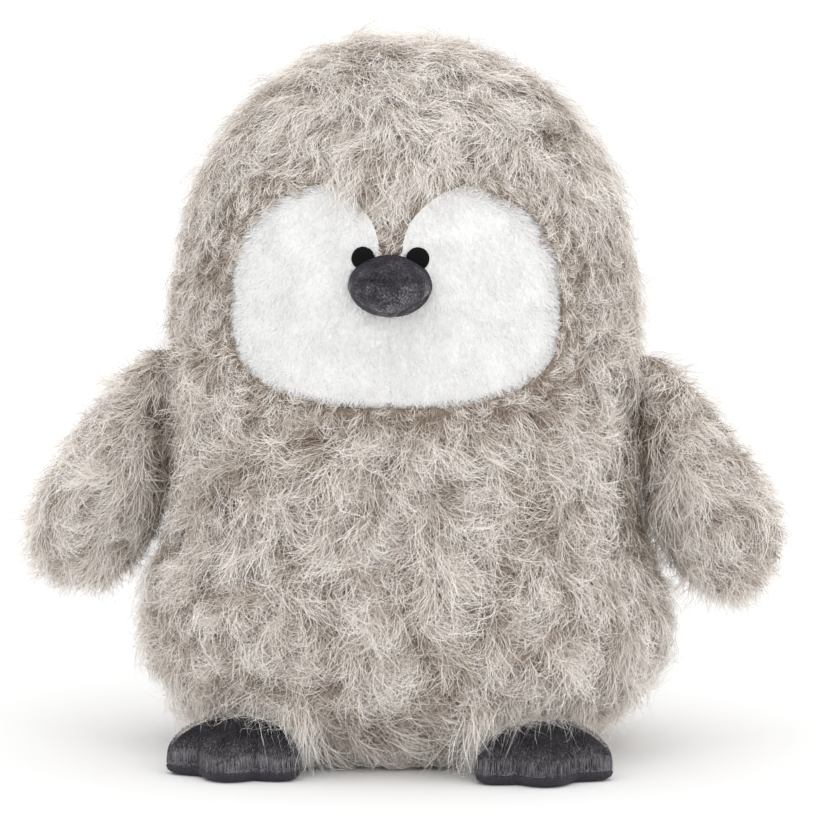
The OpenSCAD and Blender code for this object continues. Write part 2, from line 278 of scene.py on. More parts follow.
def footReach(turn):
    # distance of the outline from the middle: a pad, longer in front, with three rounded toes
    degrees = np.degrees(turn)
    pad = foot["back"] + (foot["front"] - foot["back"]) * (1 - np.sin(turn)) / 2
    toes = []
    for at, size in foot["toes"]:
        off = ((degrees - at) + 180) % 360 - 180
        toes.append(size * np.exp(-(off / foot["toeSpread"]) ** 2))
    return pad + foot["toeOut"] * np.max(toes, 0)


def footHeight(x, y):
    # height of the feet's top at a place on the floor, 0 beside them
    dx, dy = (np.abs(x) - foot["middle"][0]) / foot["stretch"], y - foot["middle"][1]
    share = np.hypot(dx, dy) / footReach(np.arctan2(dy, dx))
    arc = np.arccos(np.clip(share, 0, 1) ** (1 / 0.9))
    return np.where(share < 1, foot["edgeZ"] + (foot["high"] - foot["edgeZ"]) * np.sin(arc) ** 0.95, 0)


def surfaceFrame(surface, u, v):
    # points and outward normals, from small steps along both parameters
    step = 1e-4
    p = surface(u, v)
    du = surface(u + step, v) - surface(u - step, v)
    dv = surface(u, np.minimum(v + step, 1)) - surface(u, np.maximum(v - step, 0))
    return p, unit(np.cross(du, dv))


def spread(surface, perSquareMm, keep=None, rows=240, cols=240, phase=0.5):
    # evenly scattered sites: a two-way golden sequence laid out by the surface's own area
    u = np.linspace(0, 1, cols + 1)
    v = np.linspace(0, 1, rows + 1)
    uu, vv = np.meshgrid(u, v)
    p = surface(uu.ravel(), vv.ravel()).reshape(rows + 1, cols + 1, 3)
    area = np.linalg.norm(np.cross(p[:-1, 1:] - p[:-1, :-1], p[1:, :-1] - p[:-1, :-1]), axis=-1)
    total = area.sum() * 1e6
    count = int(total * perSquareMm)
    index = np.arange(count)
    a = (phase + index * 0.7548776662466927) % 1
    b = (phase + index * 0.5698402909980532) % 1
    rowShare = np.concatenate([[0], np.cumsum(area.sum(1))]) / area.sum()
    row = np.clip(np.searchsorted(rowShare, a, side="right") - 1, 0, rows - 1)
    vSite = (row + (a - rowShare[row]) / (rowShare[row + 1] - rowShare[row])) / rows
    colShare = np.concatenate([np.zeros((rows, 1)), np.cumsum(area, 1)], 1)
    colShare = colShare / np.maximum(area.sum(1)[:, None], 1e-15) + np.arange(rows)[:, None]
    flat = colShare.ravel()
    found = np.searchsorted(flat, row + b, side="right") - 1
    col = np.clip(found - row * (cols + 1), 0, cols - 1)
    low = colShare[row, col]
    high = colShare[row, col + 1]
    uSite = (col + (row + b - low) / np.maximum(high - low, 1e-12)) / cols
    site, normal = surfaceFrame(surface, uSite, np.clip(vSite, 1e-3, 1 - 1e-3))
    if keep is not None:
        chosen = keep(site)
        site, normal = site[chosen], normal[chosen]
    return site, normal


def ribbons(name, roots, steps, normals, width, tint, roll, material, floor=None):
    # hairs as thin flat ribbons: steps are each hair's moves from its root to its tip
    count, segments = steps.shape[:2]
    line = np.concatenate([roots[:, None], roots[:, None] + np.cumsum(steps, 1)], 1)
    if floor is not None:
        line[:, :, 2] = np.maximum(line[:, :, 2], floor[:, None])
        onFoot = footHeight(line[:, :, 0], line[:, :, 1]) + 0.9 * mm + floor[:, None]
        line[:, :, 2] = np.maximum(line[:, :, 2], onFoot)
    way = unit(np.diff(line, axis=1))
    way = np.concatenate([way, way[:, -1:]], 1)
    way[:, 1:-1] = unit(way[:, 1:-1] + way[:, :-2])
    across = unit(np.cross(way, normals[:, None]))
    lift = np.cross(across, way)
    side = across * np.cos(roll)[:, None, None] + lift * np.sin(roll)[:, None, None]
    outward = np.sign(np.sum(np.cross(side, way)[:, 0] * normals, -1))
    side = side * np.where(outward == 0, 1, outward)[:, None, None]
    t = np.arange(segments + 1) / segments
    half = (0.5 * width[:, None] * (1 - 0.55 * t ** 2))[:, :, None]
    left = (line - side * half)[:, :-1]
    right = (line + side * half)[:, :-1]
    pairs = np.stack([left, right], 2).reshape(count, segments * 2, 3)
    points = np.concatenate([pairs, line[:, -1:]], 1)
    perHair = segments * 2 + 1
    start = np.arange(count)[:, None] * perHair
    quads = [start + [2 * k, 2 * k + 1, 2 * k + 3, 2 * k + 2] for k in range(segments - 1)]
    tips = start + [2 * segments - 2, 2 * segments - 1, 2 * segments]
    along = np.concatenate([np.repeat(t[:-1], 2), [1.0]])
    across01 = np.concatenate([np.tile([-0.004, 0.004], segments), [0.0]])
    uv = np.stack([tint[:, None] + across01[None], np.broadcast_to(along, (count, perHair))], -1)
    uv = np.clip(uv, 0.002, 0.998)
    obj = buildMesh(name, points.reshape(-1, 3), quads + [tips], uv.reshape(-1, 2))
    obj.data.materials.append(material)
    print(f"  {name}: {count} hairs, {count * (2 * segments - 1)} triangles")
    return obj


def growFur(name, site, normal, flow, length, curl, layer, material, seed, lighter=0):
    # tufts of curved hairs: every hair leans from near the normal to near the skin while it turns
    # about the normal, neighbouring tufts turn together, and the hairs of one tuft draw together
    # towards their tips; lighter is one number or one for each site
    rng = np.random.default_rng(seed)
    tufts = len(site)
    each = layer["perTuft"]
    pick = np.repeat(np.arange(tufts), each)
    count = len(pick)
    forward = unit(flow - normal * np.sum(flow * normal, 1, keepdims=True))
    sideways = np.cross(normal, forward)
    tuftYaw = rng.normal(0, layer["tuftYaw"], tufts) * curl
    whorl = 2.0 * latticeNoise(site, 10 * mm, 71) + 1.4 * latticeNoise(site, 5 * mm, 72)
    tuftCurl = (whorl * layer["whorl"] + rng.normal(0, layer["curl"], tufts)) * curl
    ridge = 0.6 * latticeNoise(site, 7 * mm, 81) + 0.5 * latticeNoise(site, 3.6 * mm, 82)
    tuftLong = rng.uniform(0.85, 1.15, tufts) * (1 + layer["relief"] * ridge)
    reach = layer["tuftRadius"] * np.sqrt(rng.random(count))
    angle = rng.random(count) * 2 * np.pi
    around = np.cos(angle)[:, None] * forward[pick] + np.sin(angle)[:, None] * sideways[pick]
    offset = reach[:, None] * around
    roots = site[pick] + offset - normal[pick] * 0.4 * mm
    long = length[pick] * tuftLong[pick] * layer["long"] * rng.uniform(0.7, 1.15, count)
    yaw = tuftYaw[pick] + rng.normal(0, layer["hairYaw"], count)
    turning = tuftCurl[pick] + rng.normal(0, layer["hairCurl"], count) * curl[pick]
    tuftLean = rng.normal(0, 6, tufts) - 10 * ridge
    leanStart = np.radians((layer["leanStart"] + tuftLean[pick] + rng.normal(0, 7, count)).clip(8, 80))
    leanEnd = np.radians((layer["leanEnd"] + tuftLean[pick] + rng.normal(0, 9, count)).clip(20, 140))
    waveStart = rng.uniform(0, 2 * np.pi, count)
    waveRate = rng.uniform(4, 8, count)
    segments = layer["segments"]
    steps = np.empty((count, segments, 3))
    for k in range(segments):
        t = (k + 0.5) / segments
        lean = leanStart + (leanEnd - leanStart) * t ** 0.8
        turned = yaw + turning * t + layer["wave"] * np.sin(waveStart + waveRate * t)
        flat = np.cos(turned)[:, None] * forward[pick] + np.sin(turned)[:, None] * sideways[pick]
        way = np.cos(lean)[:, None] * normal[pick] + np.sin(lean)[:, None] * flat
        draw = layer["clump"] * (((k + 1) / segments) ** 1.3 - (k / segments) ** 1.3)
        steps[:, k] = way * long[:, None] / segments - offset * draw
    low, high = layer["tint"]
    tint = low + (high - low) * rng.random(count) ** layer["tintPower"]
    # painted shade: tufts standing lower in the relief (ridge), which are also shorter and lie flatter, are
    # tinted darker, as pockets between locks fall in shade; the random and broad-noise parts are tone, and
    # lighter adds what the caller gives
    tuftTint = (layer["tuftTint"] * rng.normal(0, 0.5, tufts) + 0.7 * ridge * layer["relief"] / 0.4 * curl
                + 0.1 * latticeNoise(site, 22 * mm, 5) + lighter)
    width = layer["width"] * rng.uniform(0.75, 1.25, count)
    roll = rng.normal(0, 0.5, count)
    floor = rng.uniform(0.2 * mm, 1.2 * mm, count)
    tint = np.clip(tint + tuftTint[pick], 0.01, 0.99)
    return ribbons(name, roots, steps, normal[pick], width, tint, roll, material, floor)


fur = {
    "dark": [(0.0, "#5a4936"), (0.4, "#998674"), (0.85, "#bbaa9a"), (1.0, "#d0c3b6")],
    "light": [(0.0, "#b5a596"), (0.3, "#f2e9e0"), (0.8, "#fffcf8"), (1.0, "#ffffff")],
}


def makeFurMaterial():
    # mohair-like acrylic pile, brushed and heat set: dull, brown-grey at the root and frosted
    # nearly white at the tip
    material, shader = newMaterial("frosted_acrylic_long_pile",
                                   {"Roughness": 0.72, "Specular IOR Level": 0.22})
    uv = addNode(material, "ShaderNodeUVMap", {"uv_map": "OFBake"})
    parts = addNode(material, "ShaderNodeSeparateXYZ", links={"Vector": (uv, "UV")})
    dark = addNode(material, "ShaderNodeValToRGB", links={"Fac": (parts, "Y")})
    light = addNode(material, "ShaderNodeValToRGB", links={"Fac": (parts, "Y")})
    setRamp(dark, fur["dark"])
    setRamp(light, fur["light"])
    mixed = addNode(material, "ShaderNodeMixRGB",
                    links={"Fac": (parts, "X"), "Color1": (dark, "Color"), "Color2": (light, "Color")})
    plug(material, mixed, "Color", shader, "Base Color")
    return material


def makeFaceMaterial():
    # short white crystal velour, sheared: chalk white with a faint warm shade at the roots
    material, shader = newMaterial("white_sheared_velour", {"Roughness": 0.8, "Specular IOR Level": 0.2})
    uv = addNode(material, "ShaderNodeUVMap", {"uv_map": "OFBake"})
    parts = addNode(material, "ShaderNodeSeparateXYZ", links={"Vector": (uv, "UV")})
    ramp = addNode(material, "ShaderNodeValToRGB", links={"Fac": (parts, "Y")})
    setRamp(ramp, [(0.0, "#efeeed"), (1.0, "#fafafa")])
    plug(material, ramp, "Color", shader, "Base Color")
    return material


def makeVelvetNapMaterial():
    # cut silky pile of the velvet: each hair is one shade from charcoal to pale grey, set by its tint; the
    # tint is random tone, with painted highlight and painted shade added on the feet
    material, shader = newMaterial("charcoal_velvet_nap", {"Roughness": 0.6, "Specular IOR Level": 0.3})
    uv = addNode(material, "ShaderNodeUVMap", {"uv_map": "OFBake"})
    parts = addNode(material, "ShaderNodeSeparateXYZ", links={"Vector": (uv, "UV")})
    ramp = addNode(material, "ShaderNodeValToRGB", links={"Fac": (parts, "X")})
    setRamp(ramp, [(0.0, "#1d1b1e"), (0.45, "#403d42"), (1.0, "#9a969c")])
    plug(material, ramp, "Color", shader, "Base Color")
    return material


def makeClothMaterial(name, low, high, grainMm, bump, values):
    # a cloth face: two shades broken up by the grain of its pile or knit, and the same grain as relief
    material, shader = newMaterial(name, values)
    place = addNode(material, "ShaderNodeTexCoord")
    grain = addNode(material, "ShaderNodeTexNoise",
                    values={"Scale": 1 / (grainMm * mm), "Detail": 3.0, "Roughness": 0.6},
                    links={"Vector": (place, "Object")})
    ramp = addNode(material, "ShaderNodeValToRGB", links={"Fac": (grain, "Fac")})
    setRamp(ramp, [(0.35, low), (0.65, high)])
    plug(material, ramp, "Color", shader, "Base Color")
    relief = addNode(material, "ShaderNodeBump", values={"Strength": 0.6, "Distance": bump * mm},
                     links={"Height": (grain, "Fac")})
    plug(material, relief, "Normal", shader, "Normal")
    return material


def makeVelvetMaterial(name, stops):
    # dense velvet: its grain, random brushed patches and the nap attribute set how pale each spot looks; the
    # nap attribute is painted sheen and painted shade
    material, shader = newMaterial(name, {"Roughness": 0.8, "Specular IOR Level": 0.15})
    place = addNode(material, "ShaderNodeTexCoord")
    grain = addNode(material, "ShaderNodeTexNoise",
                    values={"Scale": 1 / (0.75 * mm), "Detail": 2.0, "Roughness": 0.75},
                    links={"Vector": (place, "Object")})
    brushed = addNode(material, "ShaderNodeTexNoise", values={"Scale": 1 / (5 * mm), "Detail": 2.0},
                      links={"Vector": (place, "Object")})
    nap = addNode(material, "ShaderNodeAttribute", {"attribute_name": "nap"})
    stretched = addNode(material, "ShaderNodeMapRange",
                        values={"From Min": 0.3, "From Max": 0.7, "To Min": -0.3, "To Max": 0.3},
                        links={"Value": (grain, "Fac")})
    patches = addNode(material, "ShaderNodeMapRange",
                      values={"From Min": 0.3, "From Max": 0.7, "To Min": -0.17, "To Max": 0.17},
                      links={"Value": (brushed, "Fac")})
    sum1 = addNode(material, "ShaderNodeMath", {"operation": "ADD"})
    plug(material, stretched, "Result", sum1, 0)
    plug(material, patches, "Result", sum1, 1)
    sum2 = addNode(material, "ShaderNodeMath", {"operation": "ADD"})
    plug(material, sum1, "Value", sum2, 0)
    plug(material, nap, "Fac", sum2, 1)
    ramp = addNode(material, "ShaderNodeValToRGB", links={"Fac": (sum2, "Value")})
    setRamp(ramp, stops)
    plug(material, ramp, "Color", shader, "Base Color")
    relief = addNode(material, "ShaderNodeBump", values={"Strength": 0.7, "Distance": 0.25 * mm},
                     links={"Height": (grain, "Fac")})
    plug(material, relief, "Normal", shader, "Normal")
    return material


furMaterial = makeFurMaterial()
faceMaterial = makeFaceMaterial()
velvetNapMaterial = makeVelvetNapMaterial()
# knitted backing of the fur cloth, seen only between hairs
backingMaterial = makeClothMaterial("fur_backing_knit", "#7d7064", "#988b7f", 1.2, 0.2,
                                    {"Roughness": 0.95, "Specular IOR Level": 0.1})
whiteBackingMaterial = makeClothMaterial("white_velour_backing", "#f4f3f1", "#fcfcfb", 0.8, 0.1,
                                         {"Roughness": 0.9, "Specular IOR Level": 0.1})
# dense cotton velvet: nearly black, with grey painted into its colour as sheen where the nap turns away
velvetMaterial = makeVelvetMaterial("charcoal_velvet", [(0.0, "#17151a"), (0.5, "#403e43"), (1.0, "#97949b")])
soleMaterial = makeClothMaterial("charcoal_velvet_sole", "#2a282c", "#413e44", 0.5, 0.12,
                                 {"Roughness": 0.85, "Specular IOR Level": 0.2,
                                  "Sheen Weight": 0.3, "Sheen Tint": linear("#8a8590")})
# loose polyester fibre, never seen from outside
fillingMaterial = makeClothMaterial("polyester_filling", "#e6e2da", "#f6f3ec", 2.0, 0.5, {"Roughness": 0.95})
threadMaterial = makeClothMaterial("sewing_thread", "#cfcac5", "#e4e1dd", 0.4, 0.05, {"Roughness": 0.6})
print("materials made")


def dress(node, material):
    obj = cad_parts[node]
    obj.data.materials.clear()
    obj.data.materials.append(material)


coverNodes = ["crown_strip", "front_left", "front_right", "back_left", "back_right", "base_panel"]
for sideName in sides:
    coverNodes += [f"wing_{sideName}_front", f"wing_{sideName}_back", f"shoulder_{sideName}"]
for node in coverNodes:
    dress(node, backingMaterial)
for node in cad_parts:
    if node.endswith("filling") or node == "pellet_bag":
        dress(node, fillingMaterial)
dress("closing_seam", threadMaterial)
print("covers dressed")


bodyLayers = {
    "underfur": {"perSquareMm": 0.17, "perTuft": 10, "tuftRadius": 2.6 * mm, "segments": 2,
                 "long": 0.62, "width": 0.22 * mm, "leanStart": 32, "leanEnd": 95,
                 "tuftYaw": 0.5, "hairYaw": 0.7, "curl": 0.4, "hairCurl": 1.2, "whorl": 1.0, "wave": 0.0,
                 "clump": 0.1, "relief": 0.3, "tint": (0.06, 0.3), "tintPower": 1.0, "tuftTint": 0.1},
    "locks": {"perSquareMm": 0.06, "perTuft": 14, "tuftRadius": 2.2 * mm, "segments": 4,
              "long": 1.05, "width": 0.16 * mm, "leanStart": 30, "leanEnd": 116,
              "tuftYaw": 0.3, "hairYaw": 0.2, "curl": 0.7, "hairCurl": 0.4, "whorl": 1.3, "wave": 0.3,
              "clump": 0.5, "relief": 0.45, "tint": (0.08, 0.66), "tintPower": 1.0, "tuftTint": 0.45},
    "wisps": {"perSquareMm": 0.028, "perTuft": 14, "tuftRadius": 2.2 * mm, "segments": 5,
              "long": 1.3, "width": 0.16 * mm, "leanStart": 30, "leanEnd": 112,
              "tuftYaw": 0.4, "hairYaw": 0.22, "curl": 0.9, "hairCurl": 0.6, "whorl": 1.3, "wave": 0.4,
              "clump": 0.55, "relief": 0.35, "tint": (0.8, 1.0), "tintPower": 0.6, "tuftTint": 0.06},
    "frizz": {"perSquareMm": 0.1, "perTuft": 1, "tuftRadius": 0.5 * mm, "segments": 6,
              "long": 1.1, "width": 0.13 * mm, "leanStart": 20, "leanEnd": 100,
              "tuftYaw": 1.2, "hairYaw": 0.5, "curl": 1.5, "hairCurl": 1.5, "whorl": 0.5, "wave": 1.2,
              "clump": 0.0, "relief": 0.2, "tint": (0.8, 1.0), "tintPower": 0.7, "tuftTint": 0.0},
}
furLength = 13.8 * mm


def bodyFlow(p, n):
    # which way the pile lies: down, away from the lower edge of the face, and stirred by two sizes of swirl
    down = np.array([0, 0, -1.0]) + 0 * p
    centre = np.array([0, 0, 172 * mm])
    away = unit((p - centre) * [1, 0, 1])
    near = np.exp(-np.clip(fromFace(p), 0, None) / (12 * mm)) * smooth((186 * mm - p[:, 2]) / (24 * mm))
    out = np.stack([p[:, 0], 0.4 * p[:, 1], 0 * p[:, 2]], 1) / (80 * mm)
    big = np.stack([latticeNoise(p, 24 * mm, 11 + k) for k in range(3)], 1)
    small = np.stack([latticeNoise(p, 7.5 * mm, 21 + k) for k in range(3)], 1)
    stir = curliness(p)[:, None]
    return down + 0.35 * near[:, None] * away + 0.25 * out + stir * (1.1 * big + 1.2 * small)


def curliness(p):
    # curly on the belly and back, straighter on the head and at the hem
    head = smooth((p[:, 2] - 165 * mm) / (50 * mm))
    hem = smooth((34 * mm - p[:, 2]) / (30 * mm))
    return 1.0 - 0.45 * head - 0.6 * hem


def outsideFace(p):
    # the fur's edge against the face wanders by about a millimetre
    return fromFace(p) > (-0.6 + 1.5 * latticeNoise(p, 4 * mm, 35)) * mm


def bodyLightness(p):
    # paler on the head, over the crown, on the flanks and at the hem; darker in the armpits, painted shade
    # where the wings shade the body
    head = smooth((p[:, 2] - 150 * mm) / (50 * mm))
    flank = smooth((np.abs(p[:, 0]) - 45 * mm) / (35 * mm))
    hem = smooth((40 * mm - p[:, 2]) / (40 * mm))
    crown = smooth((p[:, 2] - 205 * mm) / (30 * mm))
    # painted shade: the body is darkened on each side under the wing, between the wing's seam heights
    armpitShade = smooth((np.abs(p[:, 0]) - 66 * mm) / (8 * mm)) * smooth((p[:, 2] - 58 * mm) / (12 * mm))
    armpitShade = armpitShade * smooth((138 * mm - p[:, 2]) / (12 * mm)) * smooth((26 * mm - np.abs(p[:, 1])) / (10 * mm))
    return 0.24 * head + 0.22 * crown + 0.14 * flank + 0.08 * hem - 0.6 * armpitShade


def overFeet(p):
    # 1 in the two patches whose hairs hang over the feet
    beside = np.abs(np.abs(p[:, 0]) - 50 * mm)
    low = smooth((36 * mm - p[:, 2]) / (10 * mm))
    return low * smooth((30 * mm - beside) / (10 * mm)) * (p[:, 1] < -20 * mm)


def bodyFurLength(p):
    edge = smooth(fromFace(p) / (15 * mm))
    hem = smooth((34 * mm - p[:, 2]) / (20 * mm))
    armpit = smooth((np.abs(p[:, 0]) - 70 * mm) / (6 * mm)) * smooth((134 * mm - p[:, 2]) / (10 * mm))
    armpit = armpit * smooth((p[:, 2] - 62 * mm) / (12 * mm))
    uneven = 1 + 0.18 * latticeNoise(p, 20 * mm, 31) + 0.15 * hem + 0.45 * overFeet(p) - 0.1 * armpit
    return furLength * (0.34 + 0.66 * edge) * uneven


def panelName(p):
    # which sewn panel a site lies on, as a number: 0 crown strip, then front and back, left and right
    x, y, z = p.T
    top = face["midZ"] + face["up"]
    taper = (z - 154 * mm) / (top - 154 * mm)
    back = np.where(z > top, face["stripHalfWidth"], face["stripHalfWidth"] * taper)
    inFront = (z > face["peakZ"]) & (np.abs(x) < stripFront(z))
    strip = np.where(y < 0, inFront, np.abs(x) < np.maximum(back, 0))
    return np.where(strip, 0, 1 + (x < 0) + 2 * (y > 0))


panels = ["crown", "front_left", "front_right", "back_left", "back_right"]
for layerIndex, (layerName, layer) in enumerate(bodyLayers.items()):
    site, normal = spread(bodySurface, layer["perSquareMm"], outsideFace, phase=0.17 + 0.31 * layerIndex)
    which = panelName(site)
    for index, panel in enumerate(panels):
        mine = which == index
        if panel.startswith("back"):
            mine[::4] = False      # the back is a little thinner
        p, n = site[mine], normal[mine]
        tuft = growFur(f"{panel}_{layerName}", p, n, bodyFlow(p, n), bodyFurLength(p), curliness(p),
                       layer, furMaterial, 100 * layerIndex + index, bodyLightness(p))
        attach(tuft, "torso")


# longer hairs that start above the feet and hang forward over them
fringe = {"perTuft": 9, "tuftRadius": 2 * mm, "segments": 5, "long": 1.0, "width": 0.16 * mm,
          "leanStart": 28, "leanEnd": 52, "tuftYaw": 0.35, "hairYaw": 0.3, "curl": 0.4, "hairCurl": 0.5,
          "whorl": 0.4, "wave": 0.4, "clump": 0.45, "relief": 0.3,
          "tint": (0.6, 1.0), "tintPower": 0.8, "tuftTint": 0.2}


def fringeLine(p):
    # a band of the body just above each foot
    return (overFeet(p) > 0.5) & (p[:, 2] > 18 * mm) & (p[:, 2] < 30 * mm) & (p[:, 1] < -44 * mm)


site, normal = spread(bodySurface, 0.16, fringeLine)
flow = np.array([0, -0.5, -1.0]) + 0.5 * np.stack([latticeNoise(site, 8 * mm, 44 + k) for k in range(3)], 1)
hang = growFur("fringe_over_feet", site, normal, flow, np.full(len(site), 27 * mm), np.ones(len(site)),
               fringe, furMaterial, 320, 0.35)
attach(hang, "torso")
print("body fur grown")


wing = {
    "seamX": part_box("wing_left_front")[0][0] - 0.7 * mm,
    "middle": (25 * mm, 92 * mm),      # out from the seam, and up
    "frontThick": 14 * mm,
    "backThick": 12 * mm,
    # mm out from the seam, and up
    "outline": [(0.7, 105), (7, 79), (14, 66), (22, 58), (31, 54.5), (41, 57), (48, 66), (49.4, 78),
                (45.5, 90), (37.5, 102), (27.5, 115), (18.5, 127), (8, 136.5), (0.7, 137)],
}


def cutCorners(points, times):
    # a closed outline made rounder: each corner gives way to points a quarter and three quarters
    # along its sides
    for _ in range(times):
        after = np.roll(points, -1, 0)
        points = np.stack([0.75 * points + 0.25 * after, 0.25 * points + 0.75 * after], 1).reshape(-1, 2)
    return points


wingRing = cutCorners(np.array(wing["outline"]) * mm, 3)
wingRing = np.concatenate([wingRing, wingRing[:1]])
wingAround = np.linspace(0, 1, len(wingRing))


def wingSurface(mirror):
    # u goes round the outline; v from the middle of the front, over the rim, to the middle of the back
    def surface(u, v):
        u = u % 1
        rim = np.stack([np.interp(u, wingAround, wingRing[:, k]) for k in (0, 1)], -1)
        side = np.clip(2 * v - 1, -1, 1)
        share = 1 - np.abs(side)
        middle = np.array(wing["middle"])
        flat = middle + (rim - middle) * share[..., None]
        thick = np.where(side < 0, wing["frontThick"], wing["backThick"])
        y = np.sign(side) * thick * (1 - share ** 2)
        return np.stack([mirror * (wing["seamX"] + flat[..., 0]), y, flat[..., 1]], -1)
    return surface


wingLayers = {name: dict(layer) for name, layer in bodyLayers.items()}
for layer in wingLayers.values():
    layer["tuftRadius"] *= 0.9

for sideName, mirror in sides.items():
    surface = wingSurface(mirror)
    for layerIndex, (layerName, layer) in enumerate(wingLayers.items()):
        site, normal = spread(surface, layer["perSquareMm"], phase=0.23 + 0.29 * layerIndex)
        middle = np.array([mirror * (wing["seamX"] + wing["middle"][0]), 0, wing["middle"][1]])
        normal = normal * np.sign(np.sum(normal * (site - middle), 1, keepdims=True))
        tip = np.array([0.45 * mirror, 0, -1.0])
        swirl = np.stack([latticeNoise(site, 18 * mm, 41 + k) for k in range(3)], 1)
        flow = tip + 0.75 * swirl
        long = furLength * (0.95 + 0.15 * latticeNoise(site, 16 * mm, 51))
        inner = smooth((wing["seamX"] + 14 * mm - np.abs(site[:, 0])) / (12 * mm))
        # painted shade: the wing's inner side is darkened low down in the armpit, where the body shades it;
        # the 0.3 makes the wings paler all over
        lighter = 0.3 - 1.1 * inner * smooth((128 * mm - site[:, 2]) / (12 * mm))    # dark in the armpit
        hair = growFur(f"wing_{sideName}_{layerName}", site, normal, flow, long * (1 - 0.1 * inner),
                       np.full(len(site), 0.75), layer, furMaterial,
                       400 + 10 * layerIndex + int(mirror), lighter)
        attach(hair, f"{sideName}_wing")
print("wing fur grown")


velvetPile = {"perTuft": 2, "tuftRadius": 0.3 * mm, "segments": 1, "long": 1.0, "width": 0.16 * mm,
              "leanStart": 40, "leanEnd": 65, "tuftYaw": 0.9, "hairYaw": 0.6, "curl": 0.0, "hairCurl": 0.0,
              "whorl": 0.0, "wave": 0.0, "clump": 0.2, "relief": 0.1,
              "tint": (0.2, 0.6), "tintPower": 1.0, "tuftTint": 0.15}


def ringSurface(rings):
    # a surface through rings of points: u goes round a ring, v from the first ring to the last
    count, around = rings.shape[:2]

    def surface(u, v):
        a = (u % 1) * around
        b = np.clip(v, 0, 1) * (count - 1)
        i, j = np.minimum(b.astype(int), count - 2), a.astype(int) % around
        k = (j + 1) % around
        s, t = (a % 1)[..., None], (b - i)[..., None]
        near = rings[i, j] * (1 - s) + rings[i, k] * s
        far = rings[i + 1, j] * (1 - s) + rings[i + 1, k] * s
        return near * (1 - t) + far * t
    return surface


def growVelvet(name, rings, rides, seed, lighter=None, perSquareMm=3.0):
    # short stiff pile on a velvet piece: it softens the outline and its nap catches light unevenly
    site, normal = spread(ringSurface(rings), perSquareMm, rows=80, cols=120)
    middle = rings.reshape(-1, 3).mean(0)
    if np.mean(np.sum(normal * (site - middle), 1)) < 0:
        normal = -normal
    flow = np.array([0, 0, -1.0]) + 0.9 * np.stack([latticeNoise(site, 5 * mm, 91 + k) for k in range(3)], 1)
    nap = growFur(name, site, normal, flow, np.full(len(site), 0.65 * mm), np.ones(len(site)),
                  velvetPile, velvetNapMaterial, seed, 0 if lighter is None else lighter(site))
    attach(nap, rides)


beak = {
    "halfWidth": 14.5 * mm,
    "halfHeight": 10.8 * mm,
    "middleZ": 169.3 * mm,
    "backY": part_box("beak_upper")[1][1] + 2.5 * mm,
    "frontY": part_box("beak_upper")[0][1],
    "creaseDip": 0.7 * mm,
    "creaseZ": 4.4 * mm,       # the crease lies this far above the middle
    "lipLift": 2.6 * mm,       # how far the upper panel's lower edge is drawn up
}


def faceSurface(mirror):
    # one cheek: u from the middle line to the outline, v from the bottom to the top of the lobe
    def surface(u, v):
        arc = (v - 0.5) * np.radians(172)
        z = face["midZ"] + np.where(arc < 0, face["down"], face["up"]) * np.sin(arc)
        inner = np.where(z > face["peakZ"], stripFront(z), 0)
        outer = np.maximum(faceHalf(z), inner + 0.2 * mm)
        x = inner + (outer - inner) * u
        wide, deep = halfSizes(z)
        n = body["squareness"]
        y = -deep * np.clip(1 - np.abs(x / wide) ** n, 0, 1) ** (1 / n)
        p = np.stack([mirror * x, y, z], -1)
        shape = p.shape
        flat = p.reshape(-1, 3)
        stand = faceRelief(flat)
        lean = unit(flat * [0.65, 1, 0.12])
        return (flat + lean * stand[:, None]).reshape(shape)
    return surface


def clearOfFeatures(p):
    # the white pile is trimmed under the eyes and the beak
    across = p[:, 0] / (beak["halfWidth"] - 1 * mm)
    beakShare = across ** 2 + ((p[:, 2] - beak["middleZ"]) / (beak["halfHeight"] - 1 * mm)) ** 2
    eye = np.hypot(np.abs(p[:, 0]) - 9.3 * mm, p[:, 2] - 179 * mm)
    return (beakShare > 1) & (eye > 4.9 * mm)


velourPile = {"perTuft": 1, "tuftRadius": 0.05 * mm, "segments": 2, "long": 1.0, "width": 0.3 * mm,
              "leanStart": 48, "leanEnd": 76, "tuftYaw": 0.35, "hairYaw": 0.3, "curl": 0.5, "hairCurl": 0.3,
              "whorl": 0.0, "wave": 0.0, "clump": 0.0, "relief": 0.1,
              "tint": (0.3, 0.7), "tintPower": 1.0, "tuftTint": 0.1}


def clothSheet(name, surface, rows, cols, thick, material):
    # an open sheet of cloth with a real thickness, from a grid over its surface
    v, u = np.meshgrid(np.linspace(0, 1, rows), np.linspace(0, 1, cols), indexing="ij")
    obj = buildMesh(name, surface(u.ravel(), v.ravel()), [gridFaces(rows, cols, False)])
    solid = obj.modifiers.new("thickness", "SOLIDIFY")
    solid.thickness = thick
    solid.offset = -1
    obj.data.materials.append(material)
    return obj


for sideName, mirror in sides.items():
    surface = faceSurface(mirror)
    cheek = clothSheet(f"face_{sideName}_cloth", surface, 64, 40, 1.2 * mm, whiteBackingMaterial)
    if mirror < 0:
        cheek.data.flip_normals()
    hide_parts(f"face_{sideName}")
    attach(cheek, "torso")
    site, normal = spread(surface, 6.0, clearOfFeatures, phase=0.4)
    normal = normal * np.sign(np.sum(normal * site * [1, 1, 0], 1, keepdims=True))
    flow = np.stack([0.5 * site[:, 0] / (50 * mm), 0 * site[:, 0], -1 + 0 * site[:, 0]], 1)
    flow = flow + 0.35 * np.stack([latticeNoise(site, 9 * mm, 61 + k) for k in range(3)], 1)
    border = 1 - smooth((-fromFace(site) - 0.5 * mm) / (5 * mm))
    border = border * (np.abs(site[:, 0]) > 8 * mm)
    flow = flow + 2.2 * border[:, None] * unit((site - [0, 0, 160 * mm]) * [1, 0, 1])
    pile = growFur(f"face_{sideName}_pile", site, normal, flow, (2.3 + 2.4 * border) * mm,
                   np.ones(len(site)), velourPile, faceMaterial, 500 + int(mirror))
    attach(pile, "torso")


